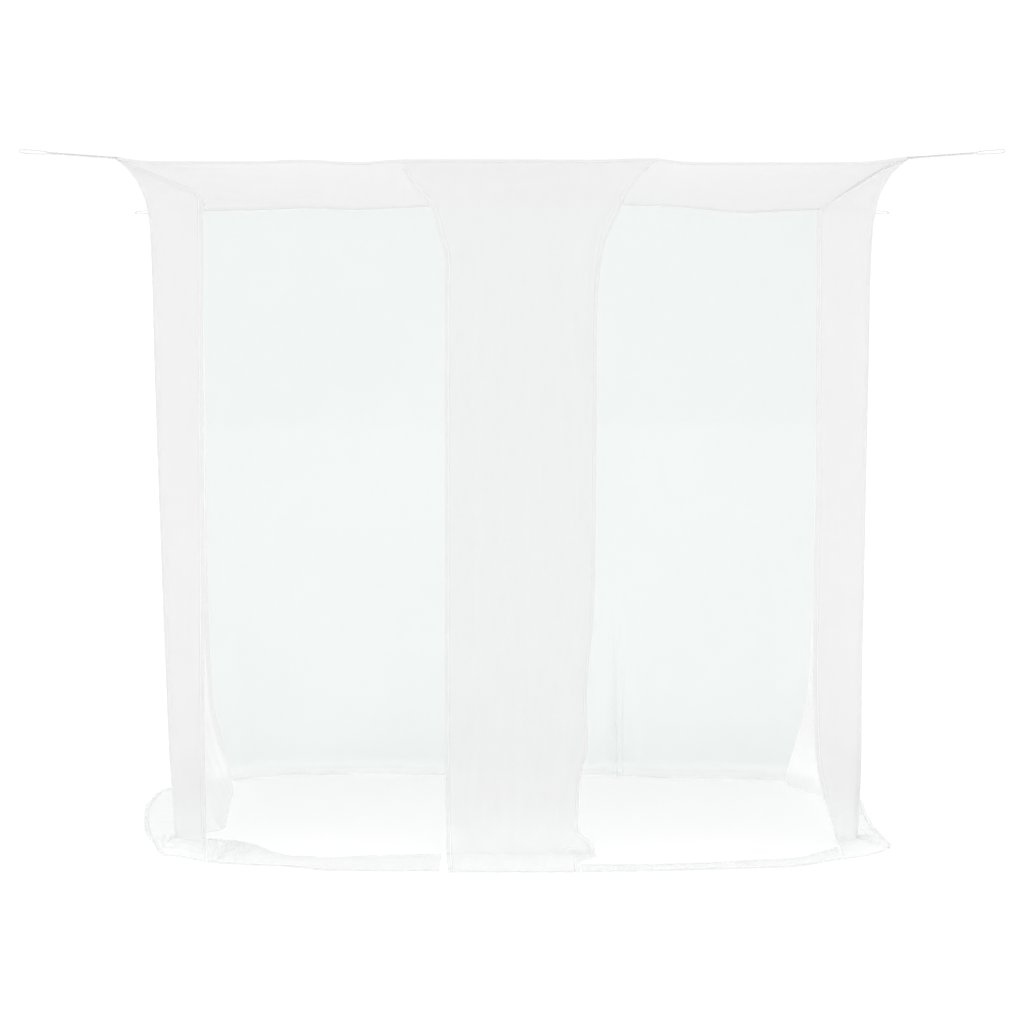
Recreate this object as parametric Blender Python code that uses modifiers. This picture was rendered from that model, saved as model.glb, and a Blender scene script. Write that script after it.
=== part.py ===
"""Box-shaped mosquito net, hung by four corner loops, with its hem spread on the floor.

Metres, +Z up. The origin is on the floor in the middle of the net, and +Y points to its back wall.
Every piece is a sheet or a tape: a grid laid out by a function, then given its thickness.

In the tables, x is measured from the middle of the net and d is the depth behind the two front
corners, so a plan point (x, d) is at y = d - DEPTH / 2.
"""

import math

import bmesh
import bpy

# Driving dimensions
FRONT_HALF = 1.100        # half the width between the two front corners of the roof
BACK_HALF = 1.090         # the same at the back corners
DEPTH = 1.900             # front corners to back corners
HEIGHT = 1.960            # floor to the roof's corners, as it hangs
LOOP_REACH_X = 1.332      # the tips of the four loops, from the middle
LOOP_REACH_D = 0.200      # and how far they stand out in front and behind

CLOTH = 0.002             # thickness of the net, taken up a little as a solid
SEAM_GAP = 0.0020         # clearance between two pieces that are sewn together
CORNER_GAP = 0.004        # between the side walls and the back wall, down the back corners
TAPE_HEIGHT = 0.009       # binding tape
TAPE_THICK = 0.003
WALL_DROP = TAPE_HEIGHT / 2 + SEAM_GAP    # the walls start just under the binding

# The front and back edges of the roof are drawn in between the corners, in plan
FRONT_BOW = 0.085
BACK_BOW = 0.120
SIDE_SAG = 0.003
ROOF_SAG = 0.030

# How the front and back edges wave up and down: (x, rise)
FRONT_WAVE = [
    (-1.10, 0.000), (-1.03, -0.010), (-0.87, -0.010), (-0.70, -0.008), (-0.59, -0.003),
    (-0.43, -0.009), (-0.31, -0.001), (0.00, 0.000), (0.25, -0.001), (0.40, 0.002),
    (0.48, -0.008), (0.67, -0.011), (0.97, -0.013), (1.04, -0.007), (1.10, 0.000),
]
BACK_WAVE = [
    (-1.09, -0.004), (-0.90, -0.005), (-0.71, 0.000), (-0.54, -0.007), (-0.30, 0.001),
    (0.00, 0.003), (0.38, 0.007), (0.59, 0.002), (0.78, -0.014), (0.95, -0.006), (1.09, 0.000),
]
# How far out the side edges run: (d, half width)
LEFT_EDGE = [
    (0.00, 1.100), (0.22, 1.089), (0.47, 1.076), (0.97, 1.026), (1.47, 1.029), (1.77, 1.052),
    (1.90, 1.090),
]
RIGHT_EDGE = [
    (0.00, 1.100), (0.17, 1.083), (0.35, 1.070), (0.84, 1.063), (1.31, 1.065), (1.70, 1.071),
    (1.83, 1.078), (1.90, 1.090),
]

# A wall leaves its top edge at the loop's pull and falls back to its own line within this drop
PULL_DROP = 0.070
# The strips beside the bays are gathered at the corner, and their hems run down from it in a
# straight slant that ends this far below the edge
STRIP_GATHER = 0.20       # share of a strip's width that its top takes up on the front edge
LEFT_SLANT = 0.083
RIGHT_SLANT = 0.130
MID_HEIGHT = 1.20
LOW_HEIGHT = 0.30

# Side walls, from the bay's hem round the front corner to the back corner. run is the place along
# the top edge, from the front corner: below zero on the front, above zero on the side. x is given
# outwards. The foot is where the cloth reaches the floor, and the hem is its edge on the floor.
#   run, mid x, mid d, low x, low d, foot x, foot d, hem x, hem d
LEFT_WALL = [
    (-0.125, 0.868, 0.090, 0.870, 0.110, 0.898, 0.385, 0.852, -0.028),
    (-0.065, 0.945, 0.080, 0.928, 0.100, 0.945, 0.400, 0.925, 0.040),
    (0.000, 0.993, 0.085, 0.970, 0.110, 0.995, 0.420, 0.990, 0.092),
    (0.120, 1.004, 0.170, 0.978, 0.200, 0.970, 0.470, 1.040, 0.290),
    (0.350, 1.012, 0.380, 0.985, 0.400, 0.876, 0.550, 1.094, 0.510),
    (0.750, 1.016, 0.760, 0.988, 0.780, 0.880, 0.790, 1.146, 0.870),
    (1.150, 1.020, 1.140, 0.995, 1.130, 0.907, 1.140, 1.171, 1.190),
    (1.500, 1.032, 1.480, 1.005, 1.430, 0.925, 1.430, 1.150, 1.470),
    (1.750, 1.048, 1.700, 1.022, 1.640, 0.945, 1.590, 1.055, 1.560),
    (1.900, 1.060, 1.840, 1.040, 1.780, 0.955, 1.680, 0.990, 1.730),
]
RIGHT_WALL = [
    (-0.155, 0.856, 0.090, 0.860, 0.110, 0.958, 0.460, 0.930, 0.014),
    (-0.070, 0.930, 0.080, 0.932, 0.100, 0.985, 0.430, 1.012, 0.086),
    (0.000, 0.996, 0.085, 0.984, 0.110, 1.015, 0.390, 1.085, 0.200),
    (0.120, 1.004, 0.170, 0.990, 0.200, 1.010, 0.470, 1.096, 0.360),
    (0.350, 1.007, 0.380, 0.996, 0.420, 0.995, 0.600, 1.096, 0.600),
    (0.750, 1.014, 0.760, 1.004, 0.780, 0.998, 0.830, 1.108, 0.900),
    (1.150, 1.020, 1.130, 1.014, 1.120, 1.018, 1.130, 1.126, 1.170),
    (1.500, 1.030, 1.450, 1.022, 1.400, 0.985, 1.360, 1.098, 1.420),
    (1.750, 1.040, 1.680, 1.020, 1.600, 0.935, 1.520, 1.050, 1.600),
    (1.900, 1.050, 1.840, 1.020, 1.780, 0.930, 1.680, 1.005, 1.800),
]

# Back wall, from its left corner to its right corner.
#   top x, mid x, mid d, low x, low d, foot x, foot d, hem x, hem d
BACK_WALL = [
    (-1.090, -1.060, 1.840, -1.040, 1.780, -0.955, 1.680, -0.990, 1.730),
    (-0.850, -0.850, 1.835, -0.848, 1.820, -0.845, 1.770, -0.875, 1.950),
    (-0.600, -0.600, 1.815, -0.600, 1.820, -0.600, 1.838, -0.620, 2.040),
    (-0.430, -0.430, 1.805, -0.430, 1.820, -0.430, 1.845, -0.440, 2.065),
    (-0.250, -0.250, 1.795, -0.250, 1.815, -0.250, 1.828, -0.250, 2.000),
    (0.000, 0.000, 1.795, 0.000, 1.810, 0.000, 1.820, 0.000, 2.005),
    (0.350, 0.350, 1.800, 0.350, 1.800, 0.350, 1.800, 0.350, 1.990),
    (0.520, 0.520, 1.810, 0.520, 1.790, 0.520, 1.745, 0.530, 1.960),
    (0.800, 0.800, 1.830, 0.800, 1.800, 0.795, 1.718, 0.825, 1.930),
    (1.090, 1.050, 1.840, 1.020, 1.780, 0.930, 1.680, 1.005, 1.800),
]

# Centre panel: its two loose edges draw in below the binding. (height, left x, right x)
PANEL_EDGES = [
    (0.000, -0.186, 0.186), (0.100, -0.187, 0.188), (0.230, -0.189, 0.195), (0.300, -0.189, 0.214),
    (0.470, -0.189, 0.212), (0.670, -0.189, 0.231), (0.900, -0.189, 0.236), (1.290, -0.189, 0.239),
    (1.570, -0.189, 0.242), (1.700, -0.189, 0.255), (1.745, -0.203, 0.266), (1.820, -0.223, 0.301),
    (1.855, -0.248, 0.318), (1.890, -0.276, 0.338), (1.927, -0.302, 0.372), (1.960, -0.315, 0.412),
]
PANEL_PLANE = 0.060       # depth at which it hangs
PANEL_FOOT = 0.100        # depth at which it reaches the floor
PANEL_FOOT_RISE = 0.200   # height from which it slants back to its foot
PANEL_EAR = 0.050         # how far its right edge bulges out where it bunches at the foot
PANEL_HEM_X = (-0.175, 0.186)
PANEL_HEM_D = -0.202

# Bands on the floor across the bays: (x, depth of the inner edge, depth of the outer edge)
LEFT_THRESHOLD_ENDS = ((-0.892, 0.385), (-0.848, -0.033))
LEFT_THRESHOLD = [
    (-0.806, 0.335, -0.055), (-0.740, 0.255, -0.083), (-0.681, 0.130, -0.092),
    (-0.622, 0.050, -0.108), (-0.550, 0.030, -0.150), (-0.510, 0.028, -0.172),
    (-0.400, 0.052, -0.181), (-0.315, 0.075, -0.182), (-0.200, 0.082, -0.180),
]
RIGHT_THRESHOLD_ENDS = ((0.939, 0.235), (0.926, 0.016))
RIGHT_THRESHOLD = [
    (0.190, -0.080, -0.200), (0.300, -0.076, -0.189), (0.405, -0.070, -0.180),
    (0.520, -0.045, -0.160), (0.657, -0.010, -0.140), (0.764, 0.020, -0.116),
    (0.830, 0.070, -0.076), (0.880, 0.140, -0.026),
]


def plan(x, d):
    """The y of a plan point at depth d, with its x."""
    return x, d - DEPTH / 2


def smooth_rows(rows, t):
    """Values of a table at t, its first column, on a smooth curve through the rows."""
    last = len(rows) - 1
    i = 0
    while i < last - 1 and t > rows[i + 1][0]:
        i += 1
    a, b = rows[i], rows[i + 1]
    before = rows[max(i - 1, 0)]
    after = rows[min(i + 2, last)]
    span = b[0] - a[0]
    s = min(max((t - a[0]) / span, 0.0), 1.0)
    values = []
    for k in range(1, len(a)):
        slope_a = (b[k] - before[k]) / (b[0] - before[0])
        slope_b = (after[k] - a[k]) / (after[0] - a[0])
        values.append(a[k] * (2 * s**3 - 3 * s**2 + 1) + b[k] * (3 * s**2 - 2 * s**3)
                      + span * slope_a * (s**3 - 2 * s**2 + s) + span * slope_b * (s**3 - s**2))
    return values


def ease(t):
    """0 to 1 with level ends."""
    t = min(max(t, 0.0), 1.0)
    return t * t * (3 - 2 * t)


# The roof's four edges, as points (x, d, z)

def front_edge(x):
    share = 1 - (x / FRONT_HALF) ** 2
    return x, FRONT_BOW * share, HEIGHT + smooth_rows(FRONT_WAVE, x)[0]


def back_edge(x):
    share = 1 - (x / BACK_HALF) ** 2
    return x, DEPTH - BACK_BOW * share, HEIGHT + smooth_rows(BACK_WAVE, x)[0]


def side_edge(side, d):
    half = smooth_rows(LEFT_EDGE if side < 0 else RIGHT_EDGE, d)[0]
    front_z, back_z = FRONT_WAVE[0][1], BACK_WAVE[0 if side < 0 else -1][1]
    t = d / DEPTH
    sag = SIDE_SAG * 4 * t * (1 - t)
    return side * half, d, HEIGHT + front_z * (1 - t) + back_z * t - sag


# Laying out cloth

def sheet(name, across, down, place, thickness=CLOTH):
    """A grid of across by down cells, each corner put where place(u, v) says, then thickened."""
    mesh = bpy.data.meshes.new(name)
    grid = bmesh.new()
    bmesh.ops.create_grid(grid, x_segments=across, y_segments=down, size=1.0)
    for vert in grid.verts:
        u = round((vert.co.x + 1) / 2 * across) / across
        v = round((1 - vert.co.y) / 2 * down) / down
        vert.co = place(u, v)
    grid.to_mesh(mesh)
    grid.free()
    mesh.shade_smooth()
    piece = bpy.data.objects.new(name, mesh)
    PARTS.objects.link(piece)
    solid = piece.modifiers.new("thickness", "SOLIDIFY")
    solid.thickness = thickness
    solid.offset = 0.0
    piece.data.materials.append(fabric(name))
    return piece


def fabric(name):
    """White polyester, a little denser and less rough in the tapes."""
    is_tape = name.endswith(("binding", "loop"))
    material = bpy.data.materials.new(name + "_cloth")
    material.use_nodes = True
    surface = material.node_tree.nodes["Principled BSDF"]
    surface.inputs["Base Color"].default_value = (0.86, 0.86, 0.86, 1) if is_tape else (0.90, 0.92, 0.92, 1)
    surface.inputs["Roughness"].default_value = 0.7 if is_tape else 0.9
    surface.inputs["Metallic"].default_value = 0.0
    return material


# Walls

DROPS = [0.0, 0.014, 0.036, 0.070, 0.12, 0.20, 0.34, 0.60, 0.95, 1.30, 1.58, 1.74, 1.83]
NEAR_FLOOR = [0.060, 0.030, 0.010]      # heights of the last rows above the floor
ON_FLOOR = [0.04, 0.30, 0.62, 0.92, 1.0]      # shares of the way from the foot to the hem
WALL_ROWS = len(DROPS) + len(NEAR_FLOOR) + len(ON_FLOOR) - 1
FLOOR_REST = CLOTH / 2


def corner_pull(drop):
    """How much of the loop's pull is left this far below the top edge."""
    return math.exp(-drop / PULL_DROP)


def slant_pull(drop, slant):
    """The same for a hem that slants straight down from the corner and then hangs plumb."""
    rest = 1 - drop / slant
    return (rest + math.hypot(rest, 0.06)) / 2


def hanging_point(top, plan_at, row, lift, pull_at=corner_pull):
    """A point of a cloth that falls from top, nears the floor and turns along it.

    plan_at(height) gives its plan place, and plan_at(0) and plan_at(-1) the foot and the hem.
    lift(share) is how high the cloth on the floor is rumpled.
    """
    if row < len(DROPS):
        height = top[2] - WALL_DROP - DROPS[row]
    elif row < len(DROPS) + len(NEAR_FLOOR):
        height = NEAR_FLOOR[row - len(DROPS)]
    else:
        share = ON_FLOOR[row - len(DROPS) - len(NEAR_FLOOR)]
        foot = plan_at(0.0)
        hem = plan_at(-1.0)
        x, d = (foot[k] + (hem[k] - foot[k]) * share for k in (0, 1))
        return (*plan(x, d), FLOOR_REST + lift(share))
    x, d = plan_at(height)
    start = plan_at(top[2])
    pull = pull_at(top[2] - WALL_DROP - height)
    x += (top[0] - start[0]) * pull
    d += (top[1] - start[1]) * pull
    return (*plan(x, d), height)


def wall_plan(values, height):
    """Plan place of a wall's column at a height, from its mid, low, foot and hem columns."""
    mid, low, foot, hem = values[0:2], values[2:4], values[4:6], values[6:8]
    if height < 0:
        return tuple(hem)
    upper = [mid[k] + (mid[k] - low[k]) * 0.5 for k in (0, 1)]
    levels = [(0.0, *foot), (LOW_HEIGHT, *low), (MID_HEIGHT, *mid), (HEIGHT, *upper)]
    return tuple(smooth_rows(levels, height))


def side_wall(name, side, table, across):
    """A side wall with its strip round the front corner. side is -1 on the left, 1 on the right."""
    first, last = table[0][0], table[-1][0]
    slant = LEFT_SLANT if side < 0 else RIGHT_SLANT
    corner_share = 0.30       # this share of the columns goes to the strip and the corner
    corner_end = 0.120

    def place(u, v):
        if u < corner_share:
            run = first + (corner_end - first) * u / corner_share
        else:
            run = corner_end + (last - corner_end) * (u - corner_share) / (1 - corner_share)
        if run < 0:
            top = front_edge(side * (FRONT_HALF + run * STRIP_GATHER))
        else:
            top = side_edge(side, run)
        gap = CORNER_GAP if run > last - 0.001 else 0.0
        top = (top[0], top[1] - gap, top[2])
        values = smooth_rows(table, run)

        def plan_at(height):
            x, d = wall_plan(values, height)
            swell = 0.007 * ease((1.5 - height) / 1.2) * ease(run / 0.3) * ease((last - run) / 0.2)
            x += swell * math.sin(run * 21.0 + 0.9 * side) if height > 0 else 0.0
            return side * x, d - gap

        def lift(share):
            wave = math.sin(run * 13.0 + side) * math.sin(run * 31.0)
            return 0.012 * max(wave, 0.0) * math.sin(math.pi * min(share, 0.97))

        hem_side = ease(run / first)

        def pull_at(drop):
            return corner_pull(drop) * (1 - hem_side) + slant_pull(drop, slant) * hem_side

        return hanging_point(top, plan_at, round(v * WALL_ROWS), lift, pull_at)

    return sheet(name, across, WALL_ROWS, place)


def back_wall():
    """The rear wall, with the one deep fold right of its middle."""
    first, last = BACK_WALL[0][0], BACK_WALL[-1][0]
    fold_x, fold_width, fold_depth = 0.366, 0.040, 0.030

    def place(u, v):
        run = first + (last - first) * u
        top = back_edge(run)
        gap = CORNER_GAP * ((run < first + 0.001) - (run > last - 0.001))
        top = (top[0] + gap, top[1], top[2])
        values = smooth_rows(BACK_WALL, run)

        def plan_at(height):
            x, d = wall_plan(values, height)
            if height > 0:
                grow = ease((1.6 - height) / 1.3) * ease((BACK_HALF - abs(run)) / 0.2)
                d += 0.006 * grow * math.sin(run * 17.0)
                near = ease((0.45 - height) / 0.35)
                d -= fold_depth * near * math.exp(-((run - fold_x) / fold_width) ** 2)
            return x + gap, d

        def lift(share):
            wave = math.sin(run * 14.0) * math.sin(run * 27.0 + 1.0)
            return 0.010 * max(wave, 0.0) * math.sin(math.pi * min(share, 0.97))

        return hanging_point(top, plan_at, round(v * WALL_ROWS), lift)

    return sheet("back_wall", 26, WALL_ROWS, place)


def centre_panel():
    """The loose front panel. Its hem lies forward on the floor, with a bunch at its right foot."""
    top_left, top_right = PANEL_EDGES[-1][1:]

    def place(u, v):
        x_top = top_left + (top_right - top_left) * u
        top = front_edge(x_top)

        def plan_at(height):
            if height < 0:
                x = PANEL_HEM_X[0] + (PANEL_HEM_X[1] - PANEL_HEM_X[0]) * u
                return x, PANEL_HEM_D
            left, right = smooth_rows(PANEL_EDGES, height)
            x = left + (right - left) * u
            grow = ease((HEIGHT - height) / 0.5)
            fold = 0.008 * grow * math.sin(u * 19.0 + 0.5)
            curl = 0.030 * grow * (abs(2 * u - 1) ** 6)
            slant = (PANEL_FOOT - PANEL_PLANE) * (1 - ease(height / PANEL_FOOT_RISE))
            flat = ease(height / 0.10)
            d = PANEL_PLANE + slant + 0.025 * ease(height / 1.2) + (fold + curl) * flat
            return x, d

        def lift(share):
            bunch = 0.030 * math.exp(-((u - 0.90) / 0.07) ** 2) * math.exp(-((share - 0.30) / 0.25) ** 2)
            ripple = 0.006 * max(math.sin(u * 17.0), 0.0) * math.sin(math.pi * min(share, 0.97))
            return bunch + ripple

        x, y, z = hanging_point(top, plan_at, round(v * WALL_ROWS), lift)
        if z > HEIGHT - 0.4:
            # the loose edges draw in by their own table, not by the pull of the corners
            left, right = smooth_rows(PANEL_EDGES, z)
            x = left + (right - left) * u
        near_foot = math.exp(-(z / 0.035) ** 2) * ease((y + DEPTH / 2 + 0.03) / 0.10)
        return x + PANEL_EAR * ease((u - 0.75) / 0.25) * near_foot, y, z

    return sheet("centre_panel", 16, WALL_ROWS, place)


# Bands on the floor

THRESHOLD_DOWN = 6
ROLL_HEIGHT = 0.009


def threshold(name, table, ends, across, heap):
    """A band of net that lies across a bay. v is 0 at its inner edge and 1 at its hem."""
    first, last = table[0][0], table[-1][0]
    inner_end, outer_end = ends
    end_at_last = abs(inner_end[0]) > abs(last) and last > 0
    rows = [(x, inner, outer) for x, inner, outer in table]

    def place(u, v):
        # one cell of the grid runs from the table's end to the slanting end line
        step = 1.0 / across
        at_end = u > 1 - step / 2 if end_at_last else u < step / 2
        if at_end:
            x = inner_end[0] + (outer_end[0] - inner_end[0]) * v
            d = inner_end[1] + (outer_end[1] - inner_end[1]) * v
        else:
            share = u / (1 - step) if end_at_last else (u - step) / (1 - step)
            x = first + (last - first) * share
            inner, outer = smooth_rows(rows, x)
            d = inner + (outer - inner) * v
        roll = ROLL_HEIGHT * math.exp(-((v - 0.10) / 0.09) ** 2)
        near_heap = math.exp(-((abs(x) - heap[0]) / heap[1]) ** 2)
        rumple = heap[2] * near_heap * (0.5 + 0.5 * math.sin(x * 95.0 + 9.0 * v))
        rumple *= math.sin(math.pi * min(max(v, 0.0), 1.0)) if not at_end else 0.0
        ripple = 0.003 * max(math.sin(x * 40.0), 0.0) * math.sin(math.pi * v)
        return (*plan(x, d), FLOOR_REST + (0.0 if at_end else roll * (1 - near_heap)) + rumple + ripple)

    return sheet(name, across, THRESHOLD_DOWN, place)


# Roof, binding and loops

FRONT_CELLS = 28          # along the front and back edges, in the roof and in its bindings
SIDE_CELLS = 16           # along the side edges


def roof_panel():
    """The top, stretched between its four edges, with a slight belly."""
    inset = TAPE_THICK / 2 + SEAM_GAP
    x_scale = 1 - inset / BACK_HALF

    def place(u, v):
        d = inset + (DEPTH - 2 * inset) * (1 - v)
        left, right = side_edge(-1, d), side_edge(1, d)
        front = front_edge((2 * u - 1) * FRONT_HALF)
        back = back_edge((2 * u - 1) * BACK_HALF)
        front_d, back_d = front[1] + inset, back[1] - inset
        x = (left[0] + (right[0] - left[0]) * u) * x_scale
        depth = front_d + (back_d - front_d) * (1 - v)
        share = 1 - v
        rim = left[2] * (1 - u) + right[2] * u
        wave = (front[2] - HEIGHT) * (1 - share) + (back[2] - HEIGHT) * share
        belly = ROOF_SAG * 16 * u * (1 - u) * share * (1 - share)
        return (*plan(x, depth), rim + wave - belly)

    return sheet("roof_panel", FRONT_CELLS, SIDE_CELLS, place)


def binding(name, edge, first, last, across):
    """A tape that stands along one top edge. edge(t) gives the point (x, d, z)."""

    def place(u, v):
        x, d, z = edge(first + (last - first) * u)
        return (*plan(x, d), z + TAPE_HEIGHT * (0.5 - v))

    return sheet(name, across, 1, place, TAPE_THICK)


LOOP_WIDTH = 0.0065
LOOP_THICK = 0.0034
# Side view of a loop: (distance from the tip, half the gap between its two strands)
LOOP_SECTION = [(0.000, 0.0008), (0.004, 0.0022), (0.010, 0.0029), (0.060, 0.0028), (0.100, 0.0002)]
LOOP_SEWN = (0.030, 0.0002)       # the stretch next to the corner that is sewn together


def hanging_loop(name, corner, tip):
    """A narrow tape folded double, from its corner to its tip and back, with an eye for a hook."""
    run_x, run_d = tip[0] - corner[0], tip[1] - corner[1]
    length = math.hypot(run_x, run_d)
    along = (run_x / length, run_d / length)
    start = SEAM_GAP
    half = LOOP_THICK / 2
    upper = [(length - half - back, gap + half) for back, gap in LOOP_SECTION]
    upper += [(LOOP_SEWN[0], LOOP_SEWN[1] + half), (start, LOOP_SEWN[1] + half)]
    path = [(s, -z) for s, z in reversed(upper)] + upper

    def place(u, v):
        s, z = path[round(u * (len(path) - 1))]
        side_step = LOOP_WIDTH * (v - 0.5)
        x = corner[0] + along[0] * s - along[1] * side_step
        d = corner[1] + along[1] * s + along[0] * side_step
        return (*plan(x, d), HEIGHT + z)

    return sheet(name, len(path) - 1, 1, place, LOOP_THICK)


def clear_scene():
    for item in list(bpy.data.objects):
        bpy.data.objects.remove(item, do_unlink=True)


def build():
    roof_panel()
    side_wall("left_wall", -1, LEFT_WALL, 26)
    side_wall("right_wall", 1, RIGHT_WALL, 26)
    back_wall()
    centre_panel()
    threshold("left_threshold", LEFT_THRESHOLD, LEFT_THRESHOLD_ENDS, 20, (0.80, 0.10, 0.030))
    threshold("right_threshold", RIGHT_THRESHOLD, RIGHT_THRESHOLD_ENDS, 18, (0.90, 0.05, 0.012))
    end = TAPE_THICK / 2 + SEAM_GAP
    binding("front_binding", front_edge, -FRONT_HALF, FRONT_HALF, FRONT_CELLS)
    binding("back_binding", back_edge, -BACK_HALF, BACK_HALF, FRONT_CELLS)
    binding("left_binding", lambda d: side_edge(-1, d), end, DEPTH - end, SIDE_CELLS)
    binding("right_binding", lambda d: side_edge(1, d), end, DEPTH - end, SIDE_CELLS)
    for side, word in ((-1, "left"), (1, "right")):
        hanging_loop(f"front_{word}_loop", (side * FRONT_HALF, 0.0), (side * LOOP_REACH_X, -LOOP_REACH_D))
        rear_tip = (side * LOOP_REACH_X, DEPTH + LOOP_REACH_D)
        hanging_loop(f"rear_{word}_loop", (side * BACK_HALF, DEPTH), rear_tip)


clear_scene()
PARTS = bpy.data.collections.new("mosquito_net_canopy")
bpy.context.scene.collection.children.link(PARTS)
build()
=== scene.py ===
"""Looks of the box-shaped mosquito net: sheer net, hems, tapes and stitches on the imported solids.

Metres, +Z up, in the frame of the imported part. In the tables, x is measured from the middle of the
net and d is the depth behind the two front corners, so a plan point (x, d) is at y = d - DEPTH / 2.
Each piece of net is one surface laid out by a function point(run, t). run goes along its top edge.
t goes down it: 0 at the top, 1 at TURN_HEIGHT, 2 where it meets the floor and 3 at its hem.
"""

import math
from functools import partial

import bmesh
import bpy
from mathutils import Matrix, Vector, noise


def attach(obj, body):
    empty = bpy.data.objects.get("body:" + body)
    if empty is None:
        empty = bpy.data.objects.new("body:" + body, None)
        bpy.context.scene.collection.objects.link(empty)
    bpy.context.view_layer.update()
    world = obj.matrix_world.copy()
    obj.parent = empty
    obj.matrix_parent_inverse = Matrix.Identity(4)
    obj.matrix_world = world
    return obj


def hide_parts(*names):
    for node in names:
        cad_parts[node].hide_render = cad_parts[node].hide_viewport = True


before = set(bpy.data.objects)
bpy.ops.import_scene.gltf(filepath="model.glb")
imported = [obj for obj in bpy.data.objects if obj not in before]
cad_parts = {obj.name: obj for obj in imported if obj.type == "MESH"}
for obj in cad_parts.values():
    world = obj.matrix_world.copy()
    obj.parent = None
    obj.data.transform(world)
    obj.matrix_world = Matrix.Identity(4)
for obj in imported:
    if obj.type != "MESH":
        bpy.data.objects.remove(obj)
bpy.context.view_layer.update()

# Driving dimensions, as in the construction
FRONT_HALF = 1.100
BACK_HALF = 1.090
DEPTH = 1.900
HEIGHT = 1.960
LOOP_REACH_X = 1.332
LOOP_REACH_D = 0.200

CLOTH = 0.002
SEAM_GAP = 0.002
CORNER_GAP = 0.0003
CORNER_FADE = 0.02        # how far from a rear corner its gap begins
TAPE_HEIGHT = 0.009
TAPE_THICK = 0.003
UNDER_TAPE = 0.0004       # from the binding's lower edge to the wall's top edge
WALL_DROP = TAPE_HEIGHT / 2 + UNDER_TAPE
FLOOR_REST = CLOTH / 2

FRONT_BOW = 0.085
BACK_BOW = 0.120
SIDE_SAG = 0.003
ROOF_SAG = 0.030

# How the front and back edges wave up and down: (x, rise)
FRONT_WAVE = [
    (-1.10, 0.000), (-1.03, -0.010), (-0.87, -0.010), (-0.70, -0.008), (-0.59, -0.003),
    (-0.43, -0.009), (-0.31, -0.001), (0.00, 0.000), (0.25, -0.001), (0.40, 0.002),
    (0.48, -0.008), (0.67, -0.011), (0.97, -0.013), (1.04, -0.007), (1.10, 0.000),
]
BACK_WAVE = [
    (-1.09, -0.004), (-0.90, -0.005), (-0.71, 0.000), (-0.54, -0.007), (-0.30, 0.001),
    (0.00, 0.003), (0.38, 0.007), (0.59, 0.002), (0.78, -0.014), (0.95, -0.006), (1.09, 0.000),
]
# How far out the side edges run: (d, half width)
LEFT_EDGE = [
    (0.00, 1.100), (0.22, 1.089), (0.47, 1.076), (0.97, 1.026), (1.47, 1.029), (1.77, 1.052),
    (1.90, 1.090),
]
RIGHT_EDGE = [
    (0.00, 1.100), (0.17, 1.083), (0.35, 1.070), (0.84, 1.063), (1.31, 1.065), (1.70, 1.071),
    (1.83, 1.078), (1.90, 1.090),
]

PULL_DROP = 0.070
STRIP_GATHER = 0.20
LEFT_SLANT = 0.083
RIGHT_SLANT = 0.130
MID_HEIGHT = 1.20
LOW_HEIGHT = 0.30
TURN_HEIGHT = 0.10        # below this the cloth's rows close up towards the floor

# Side walls, from the bay's hem round the front corner to the back corner. run is measured along
# the top edge, and is below zero on the front. x is outwards.
#   run, mid x, mid d, low x, low d, foot x, foot d, hem x, hem d
LEFT_WALL = [
    (-0.125, 0.868, 0.090, 0.870, 0.110, 0.898, 0.385, 0.852, -0.028),
    (-0.065, 0.945, 0.080, 0.928, 0.100, 0.945, 0.400, 0.925, 0.040),
    (0.000, 0.993, 0.085, 0.970, 0.110, 0.995, 0.420, 0.990, 0.092),
    (0.120, 1.004, 0.170, 0.978, 0.200, 0.970, 0.470, 1.040, 0.290),
    (0.350, 1.012, 0.380, 0.985, 0.400, 0.876, 0.550, 1.094, 0.510),
    (0.750, 1.016, 0.760, 0.988, 0.780, 0.880, 0.790, 1.146, 0.870),
    (1.150, 1.020, 1.140, 0.995, 1.130, 0.907, 1.140, 1.171, 1.190),
    (1.500, 1.032, 1.480, 1.005, 1.430, 0.925, 1.430, 1.150, 1.470),
    (1.750, 1.048, 1.700, 1.022, 1.640, 0.945, 1.590, 1.055, 1.560),
    (1.900, 1.060, 1.840, 1.040, 1.780, 0.955, 1.680, 0.990, 1.730),
]
RIGHT_WALL = [
    (-0.155, 0.856, 0.090, 0.860, 0.110, 0.958, 0.460, 0.930, 0.014),
    (-0.070, 0.930, 0.080, 0.932, 0.100, 0.985, 0.430, 1.012, 0.086),
    (0.000, 0.996, 0.085, 0.984, 0.110, 1.015, 0.390, 1.085, 0.200),
    (0.120, 1.004, 0.170, 0.990, 0.200, 1.010, 0.470, 1.096, 0.360),
    (0.350, 1.007, 0.380, 0.996, 0.420, 0.995, 0.600, 1.096, 0.600),
    (0.750, 1.014, 0.760, 1.004, 0.780, 0.998, 0.830, 1.108, 0.900),
    (1.150, 1.020, 1.130, 1.014, 1.120, 1.018, 1.130, 1.126, 1.170),
    (1.500, 1.030, 1.450, 1.022, 1.400, 0.985, 1.360, 1.098, 1.420),
    (1.750, 1.040, 1.680, 1.020, 1.600, 0.935, 1.520, 1.050, 1.600),
    (1.900, 1.050, 1.840, 1.020, 1.780, 0.930, 1.680, 1.005, 1.800),
]
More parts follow.
